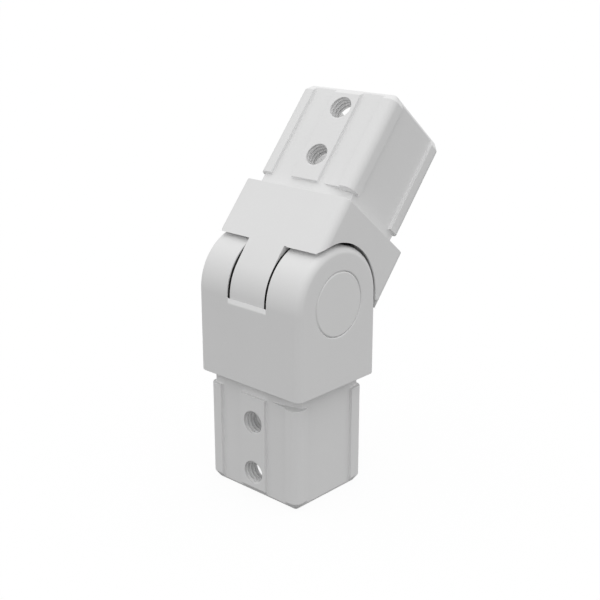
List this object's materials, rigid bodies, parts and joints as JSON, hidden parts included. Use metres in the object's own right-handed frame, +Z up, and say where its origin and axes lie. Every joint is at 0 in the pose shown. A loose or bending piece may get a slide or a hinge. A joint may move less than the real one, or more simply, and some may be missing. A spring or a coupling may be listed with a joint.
{
  "type": "swivel rail joiner",
  "caption": "Folding knuckle that joins two rectangular rails at an angle, with a hollow ribbed spigot and tapped screw holes at each end.",
  "frame": {"origin": "centre of the lower rail's stop shoulder, on the axis of the knuckle's lower half", "axes": "+X along the hinge axis, -Y the face with the set screw holes, +Z up the lower rail towards the hinge"},
  "size_m": [0.04, 0.065, 0.115],
  "materials": {
    "white_coat": "matte white powder coat",
    "sleeve_steel": "satin",
    "bush_polymer": "matte",
    "friction_polymer": "matte",
    "fastener_steel": "satin",
    "ring_nylon": "matte",
    "cap_polymer": "matte"
  },
  "bodies": {
    "lower_arm": {"lower_body": "white_coat", "pivot_sleeve": "sleeve_steel", "friction_washer_left": "friction_polymer", "friction_washer_right": "friction_polymer", "pivot_screw": "fastener_steel", "screw_washer": "fastener_steel", "nut_washer": "fastener_steel", "lock_nut": "fastener_steel", "nut_lock_ring": "ring_nylon", "cap_left": "cap_polymer", "cap_right": "cap_polymer"},
    "upper_arm": {"upper_body": "white_coat", "tongue_bush_left": "bush_polymer", "tongue_bush_right": "bush_polymer"}
  },
  "joints": [
    {"name": "knuckle_fold", "type": "hinge", "parent": "lower_arm", "child": "upper_arm", "pos_m": [0, 0, 0.025], "axis": [-1, 0, 0], "range_deg": [-40, 1]}
  ]
}
